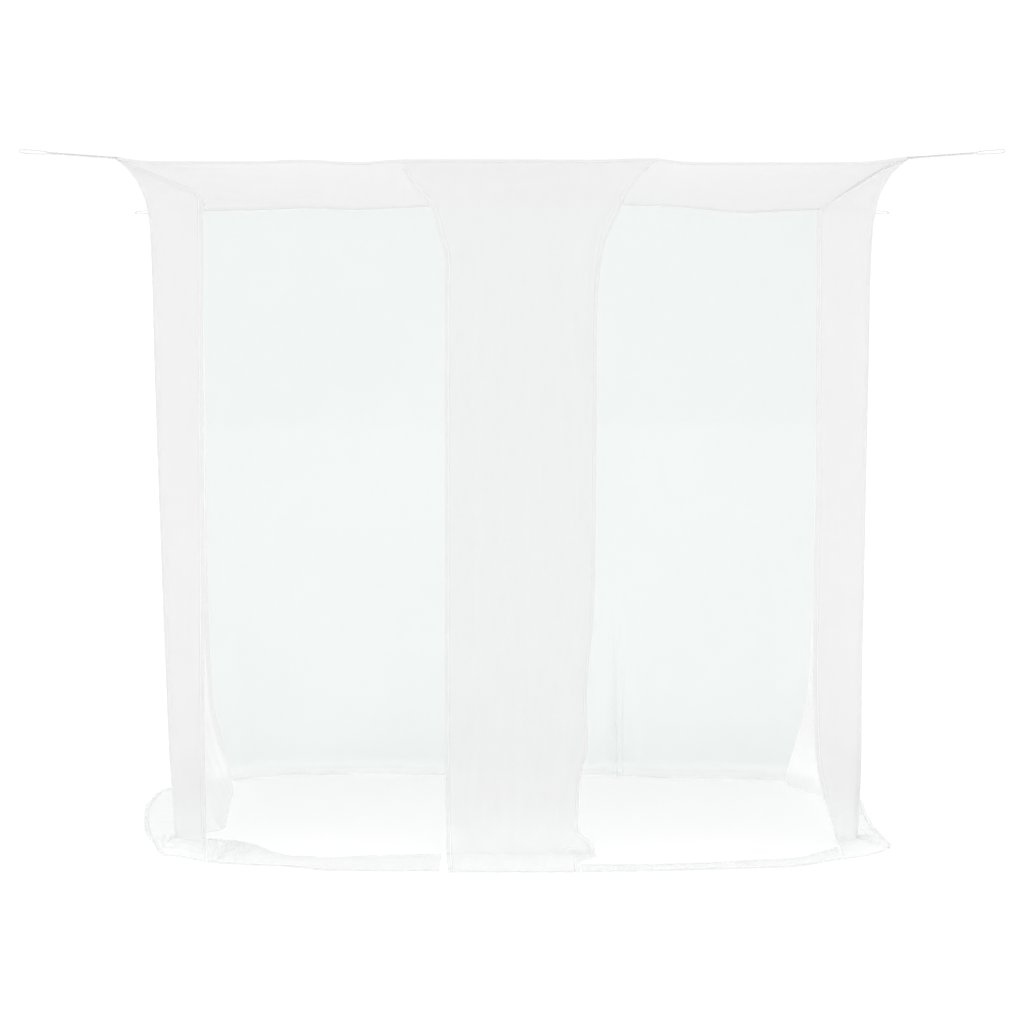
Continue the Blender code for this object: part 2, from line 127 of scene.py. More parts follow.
# Back wall, from its left corner to its right corner.
#   top x, mid x, mid d, low x, low d, foot x, foot d, hem x, hem d
BACK_WALL = [
    (-1.090, -1.060, 1.840, -1.040, 1.780, -0.955, 1.680, -0.990, 1.730),
    (-0.850, -0.850, 1.835, -0.848, 1.820, -0.845, 1.770, -0.875, 1.950),
    (-0.600, -0.600, 1.815, -0.600, 1.820, -0.600, 1.838, -0.620, 2.040),
    (-0.430, -0.430, 1.805, -0.430, 1.820, -0.430, 1.845, -0.440, 2.065),
    (-0.250, -0.250, 1.795, -0.250, 1.815, -0.250, 1.828, -0.250, 2.000),
    (0.000, 0.000, 1.795, 0.000, 1.810, 0.000, 1.820, 0.000, 2.005),
    (0.350, 0.350, 1.800, 0.350, 1.800, 0.350, 1.800, 0.350, 1.990),
    (0.520, 0.520, 1.810, 0.520, 1.790, 0.520, 1.745, 0.530, 1.960),
    (0.800, 0.800, 1.830, 0.800, 1.800, 0.795, 1.718, 0.825, 1.930),
    (1.090, 1.050, 1.840, 1.020, 1.780, 0.930, 1.680, 1.005, 1.800),
]
# Centre panel's loose edges: (height, left x, right x)
PANEL_EDGES = [
    (0.000, -0.186, 0.186), (0.100, -0.187, 0.188), (0.230, -0.189, 0.195), (0.300, -0.189, 0.214),
    (0.470, -0.189, 0.212), (0.670, -0.189, 0.231), (0.900, -0.189, 0.236), (1.290, -0.189, 0.239),
    (1.570, -0.189, 0.242), (1.700, -0.189, 0.255), (1.745, -0.203, 0.266), (1.820, -0.223, 0.301),
    (1.855, -0.248, 0.318), (1.890, -0.276, 0.338), (1.927, -0.302, 0.372), (1.960, -0.315, 0.412),
]
PANEL_PLANE = 0.060
PANEL_FOOT = 0.100
PANEL_FOOT_RISE = 0.200
PANEL_EAR = 0.050         # how far its right edge bulges out where it bunches at the foot
PANEL_HEM_X = (-0.175, 0.186)
PANEL_HEM_D = -0.202

# Bands on the floor across the bays: (x, depth of the inner edge, depth of the outer edge)
LEFT_THRESHOLD_ENDS = ((-0.8950, 0.386), (-0.8505, -0.031))
LEFT_THRESHOLD = [
    (-0.806, 0.335, -0.055), (-0.740, 0.255, -0.083), (-0.681, 0.130, -0.092),
    (-0.622, 0.050, -0.108), (-0.550, 0.030, -0.150), (-0.510, 0.028, -0.172),
    (-0.400, 0.052, -0.181), (-0.315, 0.075, -0.182), (-0.200, 0.082, -0.180),
]
RIGHT_THRESHOLD_ENDS = ((0.939, 0.235), (0.926, 0.016))
RIGHT_THRESHOLD = [
    (0.190, -0.080, -0.200), (0.300, -0.076, -0.189), (0.405, -0.070, -0.180),
    (0.520, -0.045, -0.160), (0.657, -0.010, -0.140), (0.764, 0.020, -0.116),
    (0.830, 0.070, -0.076), (0.880, 0.140, -0.026),
]

# Folds that lie over themselves:
#   (run, half width, overlap, depth, height below which it is full, height where it ends)
LEFT_FOLDS = [(0.050, 0.008, 0.008, 0.003, 1.70, 1.90)]
RIGHT_FOLDS = [
    (0.005, 0.012, 0.015, 0.008, 0.20, 0.62),
    (0.045, 0.012, 0.015, 0.008, 0.16, 0.58),
    (0.080, 0.008, 0.008, 0.003, 1.70, 1.90),
]
BACK_FOLDS = [
    (0.358, 0.014, 0.0070, 0.008, 0.12, 0.62),
    (0.382, 0.014, 0.0062, 0.006, 0.10, 0.60),
]
PANEL_FOLDS = [(0.386, 0.008, 0.009, 0.005, 0.03, 0.14)]

ROOF_FLAT = (2.20, 1.90)

HEM_WIDTH = 0.015
FLOOR_HEM_THICK = 0.0030
EDGE_HEM_THICK = 0.0022
BAND_HEM_THICK = 0.0028
ROLLED_HEM_THICK = 0.0045
HEM_STANDOFF = 0.0003
FLOOR_CLEARANCE = 0.0002
CUT_FOOT = 2.0            # how far down the cut the cloth meets the floor
NET_CELL = 0.0018         # pitch of the net's six-sided holes
TAPE_RIB = 0.0012         # pitch of the tape's ribs
THREAD_PLY = 0.0006       # pitch of the sewing thread's twist
STITCH = 0.0040           # from one stitch to the next
STITCH_LENGTH = 0.0026
STITCH_RADIUS = 0.00035
BUMP_HEIGHT = 0.0002      # how high the threads stand out of the net and the tape

UP = Vector((0, 0, 1))
DOWN = Vector((0, 0, -1))


def plan(x, d):
    """The x and y of a plan point at depth d."""
    return x, d - DEPTH / 2


def smooth_rows(rows, t):
    """Values of a table at t, its first column, on a smooth curve through the rows."""
    last = len(rows) - 1
    i = 0
    while i < last - 1 and t > rows[i + 1][0]:
        i += 1
    a, b = rows[i], rows[i + 1]
    before = rows[max(i - 1, 0)]
    after = rows[min(i + 2, last)]
    span = b[0] - a[0]
    s = min(max((t - a[0]) / span, 0.0), 1.0)
    values = []
    for k in range(1, len(a)):
        slope_a = (b[k] - before[k]) / (b[0] - before[0])
        slope_b = (after[k] - a[k]) / (after[0] - a[0])
        values.append(a[k] * (2 * s**3 - 3 * s**2 + 1) + b[k] * (3 * s**2 - 2 * s**3)
                      + span * slope_a * (s**3 - 2 * s**2 + s) + span * slope_b * (s**3 - s**2))
    return values


def ease(t):
    """0 to 1 with level ends."""
    t = min(max(t, 0.0), 1.0)
    return t * t * (3 - 2 * t)


def mix(a, b, share):
    return a + (b - a) * share


def bell(t):
    return math.exp(-t * t)


def crest(angle):
    """A sine wave that runs from 0 to 1."""
    return 0.5 + 0.5 * math.sin(angle)


def arch(share):
    """0 at a cloth's foot, 1 half way to its hem, and near 0 at its hem."""
    return math.sin(math.pi * min(share, 0.97))


def waver(a, b=0.0, seed=0.0):
    """Smooth noise from about -1 to 1."""
    return noise.noise(Vector((a, b, seed * 17.3 + 0.37)))


# The roof's four edges, as points (x, d, z)

def front_edge(x):
    share = 1 - (x / FRONT_HALF) ** 2
    return x, FRONT_BOW * share, HEIGHT + smooth_rows(FRONT_WAVE, x)[0]


def back_edge(x):
    share = 1 - (x / BACK_HALF) ** 2
    return x, DEPTH - BACK_BOW * share, HEIGHT + smooth_rows(BACK_WAVE, x)[0]


def side_edge(side, d):
    half = smooth_rows(LEFT_EDGE if side < 0 else RIGHT_EDGE, d)[0]
    front_z, back_z = FRONT_WAVE[0][1], BACK_WAVE[0 if side < 0 else -1][1]
    t = d / DEPTH
    sag = SIDE_SAG * 4 * t * (1 - t)
    return side * half, d, HEIGHT + front_z * (1 - t) + back_z * t - sag


# How hanging cloth goes down and along the floor

PULL_ROUNDING = 0.06      # how softly the slanting hem bends into the plumb one
FLOOR_SPACING = 1.6       # above 1, the floor's rows lie closer together at the foot
TUCK_HEIGHT = 0.004       # where the turn bulges most
TUCK_RISE = 0.010         # how far up the bulge fades
TUCK_REACH = 0.004        # how far along the floor it fades


def corner_pull(drop):
    """How much of the loop's pull is left this far below the top edge."""
    return math.exp(-drop / PULL_DROP)


def slant_pull(drop, slant):
    """The same for a hem that slants straight down from the corner and then hangs plumb."""
    rest = 1 - drop / slant
    return (rest + math.hypot(rest, PULL_ROUNDING)) / 2


def near_corner(distance):
    """1 at a rear corner and 0 from CORNER_FADE away from it."""
    return ease(1 - distance / CORNER_FADE)


def hanging_point(top, plan_at, t, lift, tuck, pull_at=corner_pull):
    """A point of a cloth that falls from top and turns along the floor.

    plan_at(height) gives its plan place, and plan_at(-1) the hem. lift(share, distance) is how
    high the cloth on the floor is rumpled, and tuck how far the turn bulges at the foot.
    """
    start_z = top[2] - WALL_DROP
    foot = Vector(plan_at(0.0))
    hem = Vector(plan_at(-1.0))
    length = max((hem - foot).length, 1e-6)
    outwards = (hem - foot) / length
    if t >= 2:
        share = (t - 2) ** FLOOR_SPACING
        distance = length * share
        x, d = foot + outwards * (distance - tuck * bell(distance / TUCK_REACH))
        return Vector((*plan(x, d), FLOOR_REST + lift(share, distance)))
    if t <= 1:
        height = mix(start_z, TURN_HEIGHT, t)
    else:
        height = mix(FLOOR_REST, TURN_HEIGHT, (2 - t) ** 2)
    x, d = plan_at(height)
    start = plan_at(top[2])
    pull = pull_at(start_z - height)
    x += (top[0] - start[0]) * pull
    d += (top[1] - start[1]) * pull
    bulge = tuck * bell((height - TUCK_HEIGHT) / TUCK_RISE)
    x, d = Vector((x, d)) - outwards * bulge
    return Vector((*plan(x, d), height))


def wall_plan(values, height):
    """Plan place of a wall's column at a height, from its mid, low, foot and hem columns."""
    mid, low, foot, hem = values[0:2], values[2:4], values[4:6], values[6:8]
    if height < 0:
        return hem
    upper = [mid[k] + (mid[k] - low[k]) * 0.5 for k in (0, 1)]
    levels = [(0.0, *foot), (LOW_HEIGHT, *low), (MID_HEIGHT, *mid), (HEIGHT, *upper)]
    return smooth_rows(levels, height)


def height_of(t):
    """About how high the cloth is at t, for folds that fade upwards."""
    if t >= 2:
        return 0.0
    if t <= 1:
        return mix(HEIGHT, TURN_HEIGHT, t)
    return TURN_HEIGHT * (2 - t) ** 2


CURL_PEAK = 2.33          # brings the highest value of s * bell(s) to 1
FOLD_REACH = 4            # half widths from its middle, past which a fold is flat
FOLD_STEPS = (-2.6, -2.0, -1.6, -1.25, -0.95, -0.7, -0.45, -0.2, 0.0)
LEAST_STEP = 1e-5         # from one column to the next


def fold_at(run, t, folds):
    """(shift along the cloth, push along its normal) where folds lie over themselves."""
    shift = push = 0.0
    height = height_of(t)
    for centre, half_width, overlap, depth, full, end in folds:
        s = (run - centre) / half_width
        if abs(s) < FOLD_REACH:
            share = ease((end - height) / (end - full)) * (1 - 0.5 * ease(t - 2))
            curl = CURL_PEAK * s * bell(s) * share
            shift -= overlap * curl
            push -= depth * curl
    return shift, push


def fold_columns(folds):
    """Extra runs that give each fold enough columns."""
    return [centre + s * sign * half_width for centre, half_width, *_ in folds
            for s in FOLD_STEPS for sign in (-1, 1)]


def spread(first, last, count, extra=()):
    """Sorted runs from first to last: count even steps, and the extra ones between them."""
    even = [first + (last - first) * i / count for i in range(count + 1)]
    runs = []
    for value in sorted(even + [e for e in extra if first < e < last]):
        if not runs or value - runs[-1] > LEAST_STEP:
            runs.append(value)
    return runs


# Building meshes

def linked_object(name, shape, material):
    """Turns a bmesh into an object of the scene."""
    mesh = bpy.data.meshes.new(name)
    shape.to_mesh(mesh)
    shape.free()
    mesh.materials.append(material)
    made = bpy.data.objects.new(name, mesh)
    bpy.context.scene.collection.objects.link(made)
    return made


def finish_piece(name, shape, material, cut=None):
    """A piece of the net. cut gives each vertex's place on the flat cut, in metres."""
    if cut:
        layer = shape.loops.layers.uv["cut"]
        for face in shape.faces:
            for loop in face.loops:
                loop[layer].uv = cut[loop.vert]
    bmesh.ops.recalc_face_normals(shape, faces=shape.faces)
    piece = linked_object(name, shape, material)
    if cut:
        piece.data.shade_smooth()
    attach(piece, "root")
    return piece


def cloth_grid(name, runs, rows, point, width, metres, material):
    """One open surface of net. width is the cut's, and metres how far down it each row is."""
    grid = bmesh.new()
    grid.loops.layers.uv.new("cut")
    across, down = len(runs) - 1, len(rows) - 1
    bmesh.ops.create_grid(grid, x_segments=across, y_segments=down, size=1.0)
    cut = {}
    for vert in grid.verts:
        i = round((vert.co.x + 1) / 2 * across)
        j = round((1 - vert.co.y) / 2 * down)
        cut[vert] = (width * (runs[i] - runs[0]) / (runs[-1] - runs[0]), metres[j])
        vert.co = point(runs[i], rows[j])
    return finish_piece(name, grid, material, cut)


LENS = [(0.00, 0.00), (0.06, 0.34), (0.28, 0.50), (0.72, 0.50), (0.94, 0.34), (1.00, 0.00),
        (0.94, -0.34), (0.72, -0.50), (0.28, -0.50), (0.06, -0.34)]


def sides_of(path, inner):
    """Unit steps from each point of a path towards the matching point of an inner path."""
    steps = []
    for p, q in zip(path, inner):
        step = q - p
        steps.append(step.normalized() if step.length > 1e-9 else UP)
    return steps


def tangents_of(path):
    last = len(path) - 1
    return [(path[min(i + 1, last)] - path[max(i - 1, 0)]).normalized() for i in range(last + 1)]


def band(name, path, inwards, width, thick, material, pucker, seed):
    """A folded hem or tape: a lens-shaped section swept along a path.

    inwards gives, for each point, the direction in which the section's width goes.
    """
    shape = bmesh.new()
    shape.loops.layers.uv.new("cut")
    rings, cut, run = [], {}, 0.0
    for i, (p, side, tangent) in enumerate(zip(path, inwards, tangents_of(path))):
        normal = tangent.cross(side).normalized()
        run += (p - path[i - 1]).length if i else 0.0
        swell = 1 + pucker * waver(run * 45.0, seed=seed)
        ring = []
        for w, h in LENS:
            co = p + side * (w * width) + normal * (h * thick * swell)
            co.z = max(co.z, FLOOR_CLEARANCE)
            vert = shape.verts.new(co)
            cut[vert] = (run, w * width + (width if h < 0 else 0.0))
            ring.append(vert)
        rings.append(ring)
    count = len(LENS)
    for a, b in zip(rings, rings[1:]):
        for k in range(count):
            shape.faces.new((a[k], a[(k + 1) % count], b[(k + 1) % count], b[k]))
    shape.faces.new(reversed(rings[0]))
    shape.faces.new(rings[-1])
    return finish_piece(name, shape, material, cut)


def stitches(name, rows, material):
    """Rows of short threads. Each row is (points, normals); a stitch lies on every STITCH of it."""
    radius = STITCH_RADIUS
    shape = bmesh.new()
    for path, normals in rows:
        travelled, due = 0.0, STITCH / 2
        for p, n, q in zip(path, normals, path[1:]):
            step = (q - p).length
            if step < 1e-7:
                continue
            along = (q - p) / step
            while due <= travelled + step:
                centre = p + along * (due - travelled) + n * radius
                across = along.cross(n).normalized()
                ends = []
                for sign in (-1, 1):
                    tip = centre + along * (sign * STITCH_LENGTH / 2) - n * radius * 0.6
                    corners = (across * radius, n * radius * 1.3, across * -radius)
                    ends.append([shape.verts.new(tip + c) for c in corners])
                a, b = ends
                for k in range(3):
                    shape.faces.new((a[k], a[(k + 1) % 3], b[(k + 1) % 3], b[k]))
                shape.faces.new((a[2], a[1], a[0]))
                shape.faces.new(b)
                due += STITCH
            travelled += step
    return finish_piece(name, shape, material)


# Materials

NET_ROUGHNESS = 0.85
TAPE_ROUGHNESS = 0.7
CLOTH_SPECULAR = 0.2
NET_BUMP = 0.35
TAPE_BUMP = 0.5
YARN_DRIFT = 0.02         # how much more or less the net hides from place to place


def node(tree, kind, inputs, **settings):
    """A shader node. Its inputs, by name or place, take sockets, numbers or colours."""
    made = tree.nodes.new(kind)
    for key, value in settings.items():
        setattr(made, key, value)
    for key, value in inputs.items():
        if isinstance(value, bpy.types.NodeSocket):
            tree.links.new(value, made.inputs[key])
        else:
            made.inputs[key].default_value = value
    return made


def maths(tree, operation, *values):
    return node(tree, "ShaderNodeMath", dict(enumerate(values)), operation=operation).outputs[0]


def ranged(tree, value, low, high, out_low, out_high):
    """Brings a value from low..high to out_low..out_high, with soft ends."""
    ends = {"From Min": low, "From Max": high, "To Min": out_low, "To Max": out_high}
    return node(tree, "ShaderNodeMapRange", {"Value": value, **ends},
                interpolation_type="SMOOTHSTEP").outputs["Result"]


def shaded(tone, factor=1.0):
    return (*(min(c * factor, 1.0) for c in tone), 1)


def new_material(name, slot, colour, roughness, specular=CLOTH_SPECULAR):
    material = bpy.data.materials.new(name)
    material.use_nodes = True
    material["slot"] = slot
    surface = material.node_tree.nodes["Principled BSDF"]
    surface.inputs["Roughness"].default_value = roughness
    surface.inputs["Specular IOR Level"].default_value = specular
    surface.inputs["Base Color"].default_value = shaded(colour)
    return material, material.node_tree, surface


def coloured(tree, surface, factor, low, high):
    """Mixes two colours by a factor into the base colour. low may be a socket."""
    blend = node(tree, "ShaderNodeMix", {"Factor": factor, 6: low, 7: high}, data_type="RGBA")
    tree.links.new(blend.outputs[2], surface.inputs["Base Color"])


def colour_source(surface):
    """The socket that feeds the base colour."""
    return surface.inputs["Base Color"].links[0].from_socket


def cut_metres(tree):
    """Sockets for the place on the flat cut: both metres, along the top edge, and down."""
    cut = node(tree, "ShaderNodeUVMap", {}, uv_map="cut").outputs[0]
    parts = node(tree, "ShaderNodeSeparateXYZ", {0: cut}).outputs
    return cut, parts[0], parts[1]


def cell_pattern(tree, along, down):
    """1 on the threads of a net of six-sided holes, and 0 in the holes."""
    wave = 4 * math.pi / (math.sqrt(3) * NET_CELL)
    total = None
    for turn in (0, 1, 2):
        angle = turn * 2 * math.pi / 3
        across = maths(tree, "MULTIPLY", along, wave * math.cos(angle))
        place = maths(tree, "MULTIPLY_ADD", down, wave * math.sin(angle), across)
        ridge = maths(tree, "COSINE", place)
        total = ridge if total is None else maths(tree, "ADD", total, ridge)
    return ranged(tree, total, -0.9, -0.2, 1.0, 0.0)


def clouds(tree, place, scale, detail):
    """Soft noise over the cut."""
    inputs = {"Vector": place, "Scale": scale, "Detail": detail}
    return node(tree, "ShaderNodeTexNoise", inputs).outputs["Fac"]


def sheer(tree, surface, cover, through):
    """Lets light through the yarn and between it. cover is how much the net hides."""
    back_light = node(tree, "ShaderNodeBsdfTranslucent", {"Color": colour_source(surface)})
    gap = node(tree, "ShaderNodeBsdfTransparent", {})
    yarn = node(tree, "ShaderNodeMixShader",
                {0: through, 1: surface.outputs[0], 2: back_light.outputs[0]})
    net = node(tree, "ShaderNodeMixShader", {0: cover, 1: gap.outputs[0], 2: yarn.outputs[0]})
    tree.links.new(net.outputs[0], tree.nodes["Material Output"].inputs["Surface"])


def raised(tree, surface, height, strength):
    inputs = {"Strength": strength, "Distance": BUMP_HEIGHT, "Height": height}
    bump = node(tree, "ShaderNodeBump", inputs)
    tree.links.new(bump.outputs[0], surface.inputs["Normal"])


def net_material(name, hole, thread, tone, through, painted_light_tone=None, spread_cover=1.0, rise=0.0):
    """Knitted net. hole and thread are how much of the background each hides.

    through is the share of the light that the yarn passes on. Where the cloth lies on the floor,
    and from rise above it, it hides less and takes the given lighter tone, which is painted light
    from above.
    """
    material, tree, surface = new_material(name, "net", tone, NET_ROUGHNESS)
    place, along, down = cut_metres(tree)
    pattern = cell_pattern(tree, along, down)
    drift = ranged(tree, clouds(tree, place, 1.7, 2.0), 0.3, 0.7, -YARN_DRIFT, YARN_DRIFT)
    cover = maths(tree, "ADD", maths(tree, "MULTIPLY_ADD", pattern, thread - hole, hole), drift)
    coloured(tree, surface, pattern, shaded(tone, 0.985), shaded(tone, 1.02))
    if painted_light_tone:
        # Where the cloth lies on the floor and up to rise above it: painted light from above, as a
        # lighter tone, and a thinner cover.
        lying = ranged(tree, down, CUT_FOOT - rise, CUT_FOOT + 0.03, 0.0, 1.0)
        coloured(tree, surface, lying, colour_source(surface), shaded(painted_light_tone))
        thinning = maths(tree, "MULTIPLY_ADD", lying, spread_cover - 1.0, 1.0)
        cover = maths(tree, "MULTIPLY", cover, thinning)
    raised(tree, surface, pattern, NET_BUMP)
    sheer(tree, surface, cover, through)
    return material


def hem_material(name, middle, edge, middle_tone, edge_painted_shade_tone, through):
    """Folded hem: sheer and light in the middle, and hiding more at its fold and its seam.

    Its darker tone at the fold and the seam is painted shade.
    """
    material, tree, surface = new_material(name, "net", middle_tone, NET_ROUGHNESS)
    _, along, across = cut_metres(tree)
    pattern = cell_pattern(tree, along, across)
    wave = maths(tree, "COSINE", maths(tree, "MULTIPLY", across, 2 * math.pi / HEM_WIDTH))
    dense_with_painted_shade = ranged(tree, wave, 0.45, 0.95, 0.0, 1.0)
    # The darker tone at the fold and the seam is painted shade; the cover there also rises.
    coloured(tree, surface, dense_with_painted_shade, shaded(middle_tone), shaded(edge_painted_shade_tone))
    cover = maths(tree, "MULTIPLY_ADD", dense_with_painted_shade, edge - middle, middle)
    cover = maths(tree, "MULTIPLY_ADD", pattern, 0.05, cover)
    raised(tree, surface, pattern, NET_BUMP)
    sheer(tree, surface, cover, through)
    return material


def tape_material(name, tone, rib):
    """Woven tape with crossing ribs, a little duller in patches.

    Its darker colour between the ribs is painted shade.
    """
    material, tree, surface = new_material(name, "tape", tone, TAPE_ROUGHNESS)
    place, along, across = cut_metres(tree)
    wave = 2 * math.pi / rib
    warp = maths(tree, "SINE", maths(tree, "MULTIPLY", along, wave))
    weft = maths(tree, "SINE", maths(tree, "MULTIPLY", across, wave * 0.8))
    weave = ranged(tree, maths(tree, "MULTIPLY", warp, weft), -0.8, 0.8, 0.0, 1.0)
    patches = clouds(tree, place, 9.0, 3.0)
    # Darker where the ribs dip: painted shade; the patches are the tape's own uneven tone.
    factor = maths(tree, "MULTIPLY_ADD", patches, 0.5, maths(tree, "MULTIPLY", weave, 0.5))
    coloured(tree, surface, factor, shaded(tone, 0.94), shaded(tone, 1.05))
    raised(tree, surface, weave, TAPE_BUMP)
    return material


# Pieces of net

FALL_ROWS = 96
TURN_ROWS = 12
FLOOR_ROWS = 56
# The t of each row: closer together under the binding, in the turn and on the floor
HANG_ROWS = [(i / FALL_ROWS) ** 1.25 for i in range(FALL_ROWS)]
HANG_ROWS += [1 + i / TURN_ROWS for i in range(TURN_ROWS)]
HANG_ROWS += [2 + i / FLOOR_ROWS for i in range(FLOOR_ROWS + 1)]

SWAY = 0.0040             # slow and quick waves of the hanging cloth, and its gathers at the seam
QUICK_SWAY = 0.0018
GATHER = 0.0012


class Wall:
    """A hanging wall: its surface point(run, t), with folds, ripples and the turn at its foot."""

    def __init__(self, first, last, folds, base, normal, seed):
        self.first, self.last, self.folds = first, last, folds
        self.base, self.normal, self.seed = base, normal, seed

    def point(self, run, t):
        shift, push = fold_at(run, t, self.folds)
        p = self.base(min(max(run + shift, self.first), self.last), t)
        # calm is 0 at the side seams and under the binding, and 1 away from them
        calm = ease(min(run - self.first, self.last - run) / 0.06) * ease(t / 0.12)
        hanging = 1 - ease((t - 1.6) / 0.4)
        sway = (SWAY * waver(run * 2.1, t * 1.7, self.seed)
                + QUICK_SWAY * waver(run * 7.0, t * 2.5, self.seed + 3))
        gather = GATHER * waver(run * 38.0, 0.0, self.seed + 5) * bell(t / 0.06) * ease(t / 0.01)
        out = push * calm + hanging * (sway * calm + gather)
        p += self.normal(run) * (out * hanging)
        p.z += abs(push) * (1 - hanging) * 0.6
        return p


SIDE_SWELL = 0.007        # slow waves across a side wall
SIDE_TUCK = 0.0015        # how far its turn bulges
# Creases round the front feet: (share of the way to the hem, height)
FOOT_CREASES = ((0.30, 0.007), (0.52, 0.009), (0.74, 0.008))
CREASED_RUN = 0.45        # how far along the side they reach


def side_wall(side, table, folds, seed):
    first, last = table[0][0], table[-1][0]
    slant = LEFT_SLANT if side < 0 else RIGHT_SLANT

    def base(run, t):
        if run < 0:
            top = front_edge(side * (FRONT_HALF + run * STRIP_GATHER))
        else:
            top = side_edge(side, run)
        gap = CORNER_GAP * near_corner(last - run)
        top = (top[0], top[1] - gap, top[2])
        values = smooth_rows(table, run)

        def plan_at(height):
            x, d = wall_plan(values, height)
            calm = ease(run / 0.3) * ease((last - run) / 0.2) * ease(height / 0.04)
            swell = SIDE_SWELL * ease((1.5 - height) / 1.2) * calm
            return side * (x + swell * math.sin(run * 21.0 + 0.9 * side)), d - gap

        def lift(share, distance):
            wave = math.sin(run * 13.0 + side) * math.sin(run * 31.0)
            ripple = crest(run * 63.0 + 4.0 * waver(run * 9.0, share, seed))
            crumple = 0.0
            if run < CREASED_RUN:
                near = ease((CREASED_RUN - run) / 0.35)
                for place, size in FOOT_CREASES:
                    line = place + 0.07 * waver(run * 6.0, place, seed + 7)
                    uneven = 0.6 + waver(run * 11.0, place, seed + 8)
                    crumple += near * size * uneven * bell((share - line) / 0.035)
            return (0.012 * max(wave, 0.0) + 0.002 * ripple) * arch(share) + max(crumple, 0.0)

        hem_side = ease(run / first)

        def pull_at(drop):
            return corner_pull(drop) * (1 - hem_side) + slant_pull(drop, slant) * hem_side

        return hanging_point(top, plan_at, t, lift, SIDE_TUCK, pull_at)

    def normal(run):
        turn = ease((run + 0.05) / 0.15)
        return Vector((side * turn, -(1 - turn), 0.0)).normalized()

    return Wall(first, last, folds, base, normal, seed)


def facing_front(run):
    return Vector((0.0, -1.0, 0.0))


# The low fold in the back wall: (x, half width, depth)
BACK_FOLD = (0.366, 0.040, 0.030)
# Where the cloth bunches at its foot: (x, half width)
BACK_BUNCHES = ((-0.735, 0.05), (-0.62, 0.03), (0.366, 0.02), (0.86, 0.02))
# The roll of cloth along the foot of the back wall and the panel: (distance from it, half width)
FOOT_ROLL = (0.010, 0.006)
BACK_SEED = 8.0
PANEL_SEED = 11.0
PANEL_TUCK = 0.004


def back_wall():
    first, last = BACK_WALL[0][0], BACK_WALL[-1][0]
    fold_x, fold_width, fold_depth = BACK_FOLD

    def base(run, t):
        top = back_edge(run)
        gap = CORNER_GAP * (near_corner(run - first) - near_corner(last - run))
        top = (top[0] + gap, top[1], top[2])
        values = smooth_rows(BACK_WALL, run)

        def plan_at(height):
            x, d = wall_plan(values, height)
            if height > 0:
                grow = ease((1.6 - height) / 1.3) * ease((BACK_HALF - abs(run)) / 0.2)
                d += 0.006 * grow * math.sin(run * 17.0)
                near = ease((0.45 - height) / 0.35)
                d -= fold_depth * near * bell((run - fold_x) / fold_width)
            return x + gap, d

        def lift(share, distance):
            wave = math.sin(run * 14.0) * math.sin(run * 27.0 + 1.0)
            ripple = crest(run * 51.0 + 3.0 * waver(run * 7.0, share, BACK_SEED))
            bunch = sum(bell((run - x) / w) for x, w in BACK_BUNCHES)
            size = 0.008 * (0.55 + waver(run * 19.0, 0.0, 8.5) + bunch)
            roll = size * bell((distance - FOOT_ROLL[0]) / FOOT_ROLL[1])
            return (0.010 * max(wave, 0.0) + 0.003 * ripple) * arch(share) + max(roll, 0.0)

        tuck = 0.005 + 0.003 * waver(run * 11.0, 0.0, 9.0)
        return hanging_point(top, plan_at, t, lift, tuck)

    return Wall(first, last, BACK_FOLDS, base, facing_front, BACK_SEED)


def centre_panel():
    top_left, top_right = PANEL_EDGES[-1][1:]
    width = top_right - top_left

    def base(run, t):
        u = (run - top_left) / width
        top = front_edge(run)

        def plan_at(height):
            if height < 0:
                return mix(*PANEL_HEM_X, u), PANEL_HEM_D
            x = mix(*smooth_rows(PANEL_EDGES, height), u)
            grow = ease((HEIGHT - height) / 0.5)
            fold = 0.008 * grow * math.sin(u * 19.0 + 0.5)
            curl = 0.030 * grow * (abs(2 * u - 1) ** 6)
            slant = (PANEL_FOOT - PANEL_PLANE) * (1 - ease(height / PANEL_FOOT_RISE))
            flat = ease(height / 0.10)
            d = PANEL_PLANE + slant + 0.025 * ease(height / 1.2) + (fold + curl) * flat
            return x, d

        def lift(share, distance):
            bunch = 0.030 * bell((u - 0.90) / 0.07) * bell((share - 0.30) / 0.25)
            ripple = 0.006 * max(math.sin(u * 17.0), 0.0)
            fine = 0.0015 * crest(u * 47.0 + 5.0 * share)
            size = 0.003 * (0.5 + waver(u * 9.0, 0.0, PANEL_SEED))
            roll = size * bell((distance - FOOT_ROLL[0]) / FOOT_ROLL[1])
            return bunch + (ripple + fine) * arch(share) + max(roll, 0.0)

        p = hanging_point(top, plan_at, t, lift, PANEL_TUCK)
        if p.z > HEIGHT - 0.4:
            p.x = mix(*smooth_rows(PANEL_EDGES, p.z), u)
        at_right_edge = ease((u - 0.75) / 0.25)
        near_floor = bell((p.z / 0.05) ** 2)
        at_foot = ease((p.y + DEPTH / 2 + 0.05) / 0.10)
        p.x += PANEL_EAR * at_right_edge * near_floor * at_foot
        return p

    return Wall(top_left, top_right, PANEL_FOLDS, base, facing_front, PANEL_SEED)


FLOOR_HEM_STEP = 0.008
HEM_LINE = 2.88           # the t of a line across the floor hem, which shows which way is inwards
EDGE_HEM_ROWS = (0.004, 2.93)    # t between which a side edge is hemmed
EDGE_HEM_LINE = 0.02      # the same line for a side edge, in metres along the run


def floor_hem_paths(wall):
    """The lower edge of a cloth on the floor, and a line inside it."""
    count = int((wall.last - wall.first) / FLOOR_HEM_STEP)
    runs = spread(wall.first + 0.0005, wall.last - 0.0005, count, fold_columns(wall.folds))
    outer = [wall.point(run, 3.0) for run in runs]
    inner = [wall.point(run, HEM_LINE) for run in runs]
    for p, q in zip(outer, inner):
        p.z = max(p.z, FLOOR_REST) + FLOOR_HEM_THICK / 2
        q.z = p.z + FLOOR_CLEARANCE
    return outer, inner


